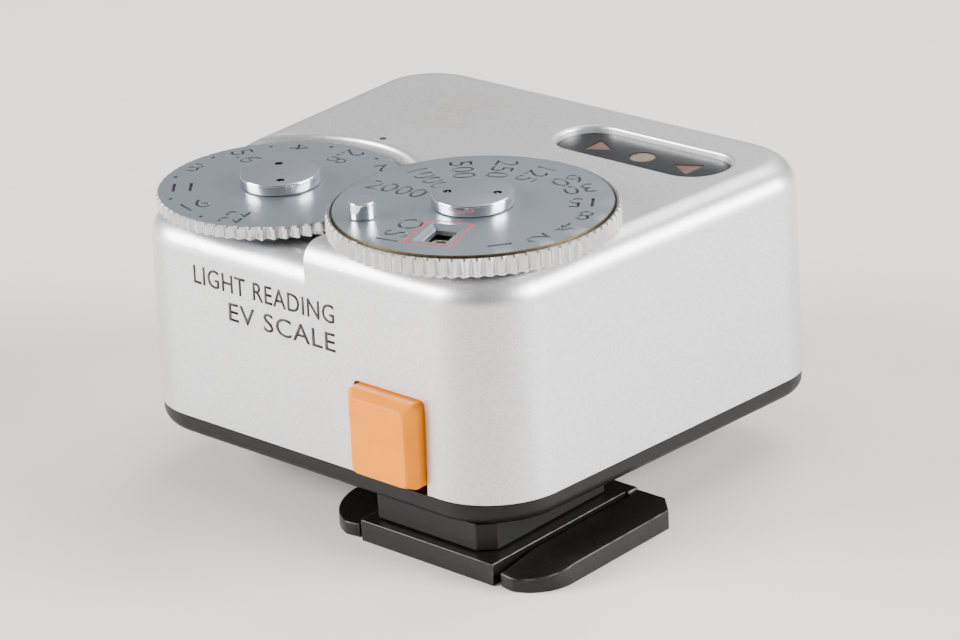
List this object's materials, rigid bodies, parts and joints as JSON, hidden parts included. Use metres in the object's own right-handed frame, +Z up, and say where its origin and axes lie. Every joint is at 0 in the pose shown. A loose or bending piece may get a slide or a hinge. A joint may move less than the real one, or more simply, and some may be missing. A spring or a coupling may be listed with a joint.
{
  "type": "light meter",
  "caption": "Small photographic light meter for an accessory shoe: silver cover, black base and foot, knurled aperture and shutter dials, measuring button and indicator window.",
  "frame": {"origin": "centre of the foot's underside", "axes": "+X to the user's right as the meter sits on a camera, +Y forward to the subject, +Z up out of the shoe"},
  "size_m": [0.0367, 0.0334, 0.0223],
  "materials": {
    "cover_paint": "satin silver flake paint",
    "base_plastic": "matt black moulding",
    "foot_black": "semi-gloss black, worn grey at its edges",
    "dial_face": "satin blue-grey, engraved",
    "dial_rim": "bright machined knurl",
    "hub_chrome": "polished",
    "film_scale": "dark toned",
    "brass": "plain",
    "spring_steel": "plain",
    "screw_zinc": "zinc plated",
    "button_orange": "glossy",
    "inner_plastic": "matt black",
    "board": "green laminate",
    "lamp": "clear red resin",
    "light_guide": "milky",
    "window_pane": "dark grey-green",
    "lens": "frosted",
    "cell_steel": "nickel plated",
    "gasket_rubber": "plain"
  },
  "bodies": {
    "housing": {"top_cover": "cover_paint", "base_plate": "base_plastic", "shoe_neck": "base_plastic", "shoe_foot": "foot_black", "base_screw_1": "screw_zinc", "base_screw_2": "screw_zinc", "base_screw_3": "screw_zinc", "foot_screw_1": "screw_zinc", "foot_screw_2": "screw_zinc", "board_screw_1": "screw_zinc", "board_screw_2": "screw_zinc", "aperture_click_ball": "spring_steel", "aperture_click_spring": "spring_steel", "speed_click_ball": "spring_steel", "speed_click_spring": "spring_steel", "switch_body": "inner_plastic", "circuit_board": "board", "meter_chip": "inner_plastic", "lamp_left": "lamp", "lamp_centre": "lamp", "lamp_right": "lamp", "lamp_housing": "inner_plastic", "light_guide": "light_guide", "window_pane": "window_pane", "lens_bezel": "inner_plastic", "sensor_lens": "lens", "bezel_ring": "spring_steel", "light_sensor": "inner_plastic", "cell_lower": "cell_steel", "cell_upper": "cell_steel", "battery_holder": "inner_plastic", "upper_contact": "brass", "aperture_bush": "brass", "speed_bush": "brass", "aperture_washer": "spring_steel", "speed_washer": "spring_steel", "aperture_pot_body": "inner_plastic", "speed_pot_body": "inner_plastic", "aperture_pot_track": "inner_plastic", "speed_pot_track": "inner_plastic"},
    "aperture_knob": {"aperture_dial": "dial_face", "aperture_hub_cap": "hub_chrome", "aperture_shaft": "spring_steel", "aperture_clip": "spring_steel", "aperture_wiper": "inner_plastic"},
    "speed_knob": {"speed_ring": "dial_rim", "film_scale": "film_scale", "disc_spring": "spring_steel", "speed_hub_cap": "hub_chrome", "speed_shaft": "spring_steel", "speed_clip": "spring_steel", "speed_wiper": "inner_plastic"},
    "film_disc": {"speed_disc": "dial_face", "film_post": "hub_chrome"},
    "button": {"measure_button": "button_orange", "switch_plunger": "inner_plastic"},
    "battery_door": {"battery_cover": "base_plastic", "lower_contact": "brass", "cover_gasket": "gasket_rubber"}
  },
  "joints": [
    {"name": "aperture_dial_turn", "type": "hinge", "parent": "housing", "child": "aperture_knob", "pos_m": [-0.01786, 0.00017, 0.01865], "axis": [0, 0, 1], "range_deg": [-196.4, 98.2]},
    {"name": "shutter_dial_turn", "type": "hinge", "parent": "housing", "child": "speed_knob", "pos_m": [-0.00185, 0.00104, 0.02015], "axis": [0, 0, 1], "range_deg": [-97, 126]},
    {"name": "film_speed_turn", "type": "hinge", "parent": "speed_knob", "child": "film_disc", "pos_m": [-0.00185, 0.00104, 0.02085], "axis": [0, 0, 1], "range_deg": [-81.2, 60.9]},
    {"name": "button_press", "type": "slide", "parent": "housing", "child": "button", "axis": [0, 1, 0], "range_m": [0, 0.0008], "stiffness_N_per_m": 800, "springref_m": -0.001},
    {"name": "battery_cover_turn", "type": "hinge", "parent": "housing", "child": "battery_door", "pos_m": [-0.01643, 0.0139, 0.00395], "axis": [0, 0, 1], "range_deg": [0, 60]}
  ]
}
